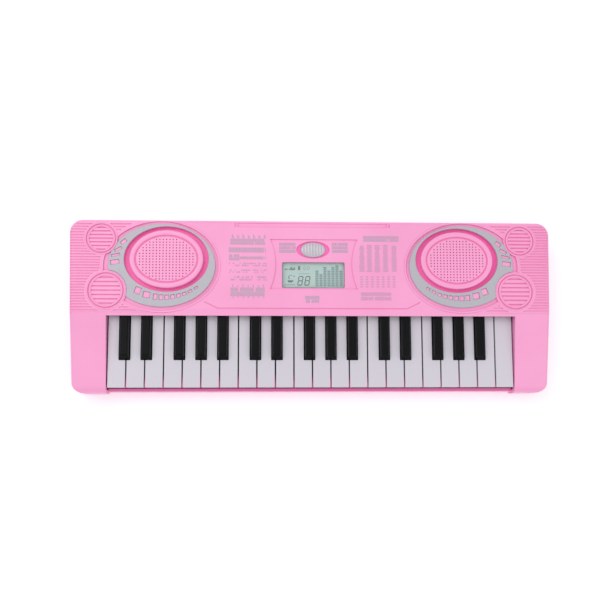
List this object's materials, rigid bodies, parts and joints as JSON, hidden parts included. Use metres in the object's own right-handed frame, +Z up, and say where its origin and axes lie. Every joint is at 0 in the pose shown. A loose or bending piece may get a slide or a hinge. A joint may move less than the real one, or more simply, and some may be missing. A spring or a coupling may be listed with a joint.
{
  "type": "toy electronic keyboard",
  "caption": "Toy electronic keyboard: sprung white and black piano keys in a two-shell casing with oval speakers, silver trims, a display and a power slider.",
  "frame": {"origin": "centre of the casing's footprint, on the plane of the feet's undersides", "axes": "+X to the player's right, +Y from the player to the rear wall, +Z up"},
  "size_m": [0.418, 0.149, 0.0384],
  "materials": {
    "pink_plastic": "semi-gloss moulded plastic",
    "white_plastic": "satin moulded plastic",
    "black_plastic": "satin moulded plastic",
    "silver_plastic": "silver paint on plastic",
    "light_silver_plastic": "light silver plastic",
    "clear_plastic": "clear window",
    "display_card": "printed card",
    "black_board": "carbon printed board",
    "green_board": "circuit board lacquer",
    "rubber": "moulded rubber",
    "speaker_paper": "pressed steel and paper cone",
    "steel": "bright steel",
    "wire_insulation": "flexible insulation",
    "battery_sleeve": "printed film sleeve"
  },
  "bodies": {
    "casing": {"top_casing": "pink_plastic", "bottom_casing": "pink_plastic", "key_hinge_rod": "steel", "key_contact_board": "black_board", "rubber_contact_strip": "rubber", "speaker_grille_left": "pink_plastic", "speaker_grille_right": "pink_plastic", "speaker_trim_left": "silver_plastic", "speaker_trim_right": "silver_plastic", "speaker_left": "speaker_paper", "speaker_right": "speaker_paper", "display_window": "clear_plastic", "display_card": "display_card", "main_circuit_board": "green_board", "wiring": "wire_insulation", "microphone_jack": "black_plastic", "battery_contacts": "steel", "batteries": "battery_sleeve", "rubber_feet": "rubber", "casing_screws": "steel", "inner_screws": "steel"},
    "white_key_01": {"white_key_01": "white_plastic"},
    "white_key_02": {"white_key_02": "white_plastic"},
    "white_key_03": {"white_key_03": "white_plastic"},
    "white_key_04": {"white_key_04": "white_plastic"},
    "white_key_05": {"white_key_05": "white_plastic"},
    "white_key_06": {"white_key_06": "white_plastic"},
    "white_key_07": {"white_key_07": "white_plastic"},
    "white_key_08": {"white_key_08": "white_plastic"},
    "white_key_09": {"white_key_09": "white_plastic"},
    "white_key_10": {"white_key_10": "white_plastic"},
    "white_key_11": {"white_key_11": "white_plastic"},
    "white_key_12": {"white_key_12": "white_plastic"},
    "white_key_13": {"white_key_13": "white_plastic"},
    "white_key_14": {"white_key_14": "white_plastic"},
    "white_key_15": {"white_key_15": "white_plastic"},
    "white_key_16": {"white_key_16": "white_plastic"},
    "white_key_17": {"white_key_17": "white_plastic"},
    "white_key_18": {"white_key_18": "white_plastic"},
    "white_key_19": {"white_key_19": "white_plastic"},
    "white_key_20": {"white_key_20": "white_plastic"},
    "white_key_21": {"white_key_21": "white_plastic"},
    "white_key_22": {"white_key_22": "white_plastic"},
    "black_key_01": {"black_key_01": "black_plastic"},
    "black_key_02": {"black_key_02": "black_plastic"},
    "black_key_03": {"black_key_03": "black_plastic"},
    "black_key_04": {"black_key_04": "black_plastic"},
    "black_key_05": {"black_key_05": "black_plastic"},
    "black_key_06": {"black_key_06": "black_plastic"},
    "black_key_07": {"black_key_07": "black_plastic"},
    "black_key_08": {"black_key_08": "black_plastic"},
    "black_key_09": {"black_key_09": "black_plastic"},
    "black_key_10": {"black_key_10": "black_plastic"},
    "black_key_11": {"black_key_11": "black_plastic"},
    "black_key_12": {"black_key_12": "black_plastic"},
    "black_key_13": {"black_key_13": "black_plastic"},
    "black_key_14": {"black_key_14": "black_plastic"},
    "black_key_15": {"black_key_15": "black_plastic"},
    "power_slider": {"power_slider": "light_silver_plastic"},
    "battery_door": {"battery_door": "pink_plastic"}
  },
  "joints": [
    {"name": "white_key_01_press", "type": "hinge", "parent": "casing", "child": "white_key_01", "pos_m": [0, 0.008, 0.021], "axis": [1, 0, 0], "range_deg": [0, 2.5], "stiffness_Nm_per_rad": 0.4, "springref_deg": -4.58},
    {"name": "white_key_02_press", "type": "hinge", "parent": "casing", "child": "white_key_02", "pos_m": [0, 0.008, 0.021], "axis": [1, 0, 0], "range_deg": [0, 2.5], "stiffness_Nm_per_rad": 0.4, "springref_deg": -4.58},
    {"name": "white_key_03_press", "type": "hinge", "parent": "casing", "child": "white_key_03", "pos_m": [0, 0.008, 0.021], "axis": [1, 0, 0], "range_deg": [0, 2.5], "stiffness_Nm_per_rad": 0.4, "springref_deg": -4.58},
    {"name": "white_key_04_press", "type": "hinge", "parent": "casing", "child": "white_key_04", "pos_m": [0, 0.008, 0.021], "axis": [1, 0, 0], "range_deg": [0, 2.5], "stiffness_Nm_per_rad": 0.4, "springref_deg": -4.58},
    {"name": "white_key_05_press", "type": "hinge", "parent": "casing", "child": "white_key_05", "pos_m": [0, 0.008, 0.021], "axis": [1, 0, 0], "range_deg": [0, 2.5], "stiffness_Nm_per_rad": 0.4, "springref_deg": -4.58},
    {"name": "white_key_06_press", "type": "hinge", "parent": "casing", "child": "white_key_06", "pos_m": [0, 0.008, 0.021], "axis": [1, 0, 0], "range_deg": [0, 2.5], "stiffness_Nm_per_rad": 0.4, "springref_deg": -4.58},
    {"name": "white_key_07_press", "type": "hinge", "parent": "casing", "child": "white_key_07", "pos_m": [0, 0.008, 0.021], "axis": [1, 0, 0], "range_deg": [0, 2.5], "stiffness_Nm_per_rad": 0.4, "springref_deg": -4.58},
    {"name": "white_key_08_press", "type": "hinge", "parent": "casing", "child": "white_key_08", "pos_m": [0, 0.008, 0.021], "axis": [1, 0, 0], "range_deg": [0, 2.5], "stiffness_Nm_per_rad": 0.4, "springref_deg": -4.58},
    {"name": "white_key_09_press", "type": "hinge", "parent": "casing", "child": "white_key_09", "pos_m": [0, 0.008, 0.021], "axis": [1, 0, 0], "range_deg": [0, 2.5], "stiffness_Nm_per_rad": 0.4, "springref_deg": -4.58},
    {"name": "white_key_10_press", "type": "hinge", "parent": "casing", "child": "white_key_10", "pos_m": [0, 0.008, 0.021], "axis": [1, 0, 0], "range_deg": [0, 2.5], "stiffness_Nm_per_rad": 0.4, "springref_deg": -4.58},
    {"name": "white_key_11_press", "type": "hinge", "parent": "casing", "child": "white_key_11", "pos_m": [0, 0.008, 0.021], "axis": [1, 0, 0], "range_deg": [0, 2.5], "stiffness_Nm_per_rad": 0.4, "springref_deg": -4.58},
    {"name": "white_key_12_press", "type": "hinge", "parent": "casing", "child": "white_key_12", "pos_m": [0, 0.008, 0.021], "axis": [1, 0, 0], "range_deg": [0, 2.5], "stiffness_Nm_per_rad": 0.4, "springref_deg": -4.58},
    {"name": "white_key_13_press", "type": "hinge", "parent": "casing", "child": "white_key_13", "pos_m": [0, 0.008, 0.021], "axis": [1, 0, 0], "range_deg": [0, 2.5], "stiffness_Nm_per_rad": 0.4, "springref_deg": -4.58},
    {"name": "white_key_14_press", "type": "hinge", "parent": "casing", "child": "white_key_14", "pos_m": [0, 0.008, 0.021], "axis": [1, 0, 0], "range_deg": [0, 2.5], "stiffness_Nm_per_rad": 0.4, "springref_deg": -4.58},
    {"name": "white_key_15_press", "type": "hinge", "parent": "casing", "child": "white_key_15", "pos_m": [0, 0.008, 0.021], "axis": [1, 0, 0], "range_deg": [0, 2.5], "stiffness_Nm_per_rad": 0.4, "springref_deg": -4.58},
    {"name": "white_key_16_press", "type": "hinge", "parent": "casing", "child": "white_key_16", "pos_m": [0, 0.008, 0.021], "axis": [1, 0, 0], "range_deg": [0, 2.5], "stiffness_Nm_per_rad": 0.4, "springref_deg": -4.58},
    {"name": "white_key_17_press", "type": "hinge", "parent": "casing", "child": "white_key_17", "pos_m": [0, 0.008, 0.021], "axis": [1, 0, 0], "range_deg": [0, 2.5], "stiffness_Nm_per_rad": 0.4, "springref_deg": -4.58},
    {"name": "white_key_18_press", "type": "hinge", "parent": "casing", "child": "white_key_18", "pos_m": [0, 0.008, 0.021], "axis": [1, 0, 0], "range_deg": [0, 2.5], "stiffness_Nm_per_rad": 0.4, "springref_deg": -4.58},
    {"name": "white_key_19_press", "type": "hinge", "parent": "casing", "child": "white_key_19", "pos_m": [0, 0.008, 0.021], "axis": [1, 0, 0], "range_deg": [0, 2.5], "stiffness_Nm_per_rad": 0.4, "springref_deg": -4.58},
    {"name": "white_key_20_press", "type": "hinge", "parent": "casing", "child": "white_key_20", "pos_m": [0, 0.008, 0.021], "axis": [1, 0, 0], "range_deg": [0, 2.5], "stiffness_Nm_per_rad": 0.4, "springref_deg": -4.58},
    {"name": "white_key_21_press", "type": "hinge", "parent": "casing", "child": "white_key_21", "pos_m": [0, 0.008, 0.021], "axis": [1, 0, 0], "range_deg": [0, 2.5], "stiffness_Nm_per_rad": 0.4, "springref_deg": -4.58},
    {"name": "white_key_22_press", "type": "hinge", "parent": "casing", "child": "white_key_22", "pos_m": [0, 0.008, 0.021], "axis": [1, 0, 0], "range_deg": [0, 2.5], "stiffness_Nm_per_rad": 0.4, "springref_deg": -4.58},
    {"name": "black_key_01_press", "type": "hinge", "parent": "casing", "child": "black_key_01", "pos_m": [0, 0.008, 0.021], "axis": [1, 0, 0], "range_deg": [0, 2.5], "stiffness_Nm_per_rad": 0.4, "springref_deg": -4.58},
    {"name": "black_key_02_press", "type": "hinge", "parent": "casing", "child": "black_key_02", "pos_m": [0, 0.008, 0.021], "axis": [1, 0, 0], "range_deg": [0, 2.5], "stiffness_Nm_per_rad": 0.4, "springref_deg": -4.58},
    {"name": "black_key_03_press", "type": "hinge", "parent": "casing", "child": "black_key_03", "pos_m": [0, 0.008, 0.021], "axis": [1, 0, 0], "range_deg": [0, 2.5], "stiffness_Nm_per_rad": 0.4, "springref_deg": -4.58},
    {"name": "black_key_04_press", "type": "hinge", "parent": "casing", "child": "black_key_04", "pos_m": [0, 0.008, 0.021], "axis": [1, 0, 0], "range_deg": [0, 2.5], "stiffness_Nm_per_rad": 0.4, "springref_deg": -4.58},
    {"name": "black_key_05_press", "type": "hinge", "parent": "casing", "child": "black_key_05", "pos_m": [0, 0.008, 0.021], "axis": [1, 0, 0], "range_deg": [0, 2.5], "stiffness_Nm_per_rad": 0.4, "springref_deg": -4.58},
    {"name": "black_key_06_press", "type": "hinge", "parent": "casing", "child": "black_key_06", "pos_m": [0, 0.008, 0.021], "axis": [1, 0, 0], "range_deg": [0, 2.5], "stiffness_Nm_per_rad": 0.4, "springref_deg": -4.58},
    {"name": "black_key_07_press", "type": "hinge", "parent": "casing", "child": "black_key_07", "pos_m": [0, 0.008, 0.021], "axis": [1, 0, 0], "range_deg": [0, 2.5], "stiffness_Nm_per_rad": 0.4, "springref_deg": -4.58},
    {"name": "black_key_08_press", "type": "hinge", "parent": "casing", "child": "black_key_08", "pos_m": [0, 0.008, 0.021], "axis": [1, 0, 0], "range_deg": [0, 2.5], "stiffness_Nm_per_rad": 0.4, "springref_deg": -4.58},
    {"name": "black_key_09_press", "type": "hinge", "parent": "casing", "child": "black_key_09", "pos_m": [0, 0.008, 0.021], "axis": [1, 0, 0], "range_deg": [0, 2.5], "stiffness_Nm_per_rad": 0.4, "springref_deg": -4.58},
    {"name": "black_key_10_press", "type": "hinge", "parent": "casing", "child": "black_key_10", "pos_m": [0, 0.008, 0.021], "axis": [1, 0, 0], "range_deg": [0, 2.5], "stiffness_Nm_per_rad": 0.4, "springref_deg": -4.58},
    {"name": "black_key_11_press", "type": "hinge", "parent": "casing", "child": "black_key_11", "pos_m": [0, 0.008, 0.021], "axis": [1, 0, 0], "range_deg": [0, 2.5], "stiffness_Nm_per_rad": 0.4, "springref_deg": -4.58},
    {"name": "black_key_12_press", "type": "hinge", "parent": "casing", "child": "black_key_12", "pos_m": [0, 0.008, 0.021], "axis": [1, 0, 0], "range_deg": [0, 2.5], "stiffness_Nm_per_rad": 0.4, "springref_deg": -4.58},
    {"name": "black_key_13_press", "type": "hinge", "parent": "casing", "child": "black_key_13", "pos_m": [0, 0.008, 0.021], "axis": [1, 0, 0], "range_deg": [0, 2.5], "stiffness_Nm_per_rad": 0.4, "springref_deg": -4.58},
    {"name": "black_key_14_press", "type": "hinge", "parent": "casing", "child": "black_key_14", "pos_m": [0, 0.008, 0.021], "axis": [1, 0, 0], "range_deg": [0, 2.5], "stiffness_Nm_per_rad": 0.4, "springref_deg": -4.58},
    {"name": "black_key_15_press", "type": "hinge", "parent": "casing", "child": "black_key_15", "pos_m": [0, 0.008, 0.021], "axis": [1, 0, 0], "range_deg": [0, 2.5], "stiffness_Nm_per_rad": 0.4, "springref_deg": -4.58},
    {"name": "power_slide", "type": "slide", "parent": "casing", "child": "power_slider", "axis": [1, 0, 0], "range_m": [-0.003, 0.003]},
    {"name": "battery_door_slide", "type": "slide", "parent": "casing", "child": "battery_door", "axis": [0, 1, 0], "range_m": [0, 0.008]}
  ]
}
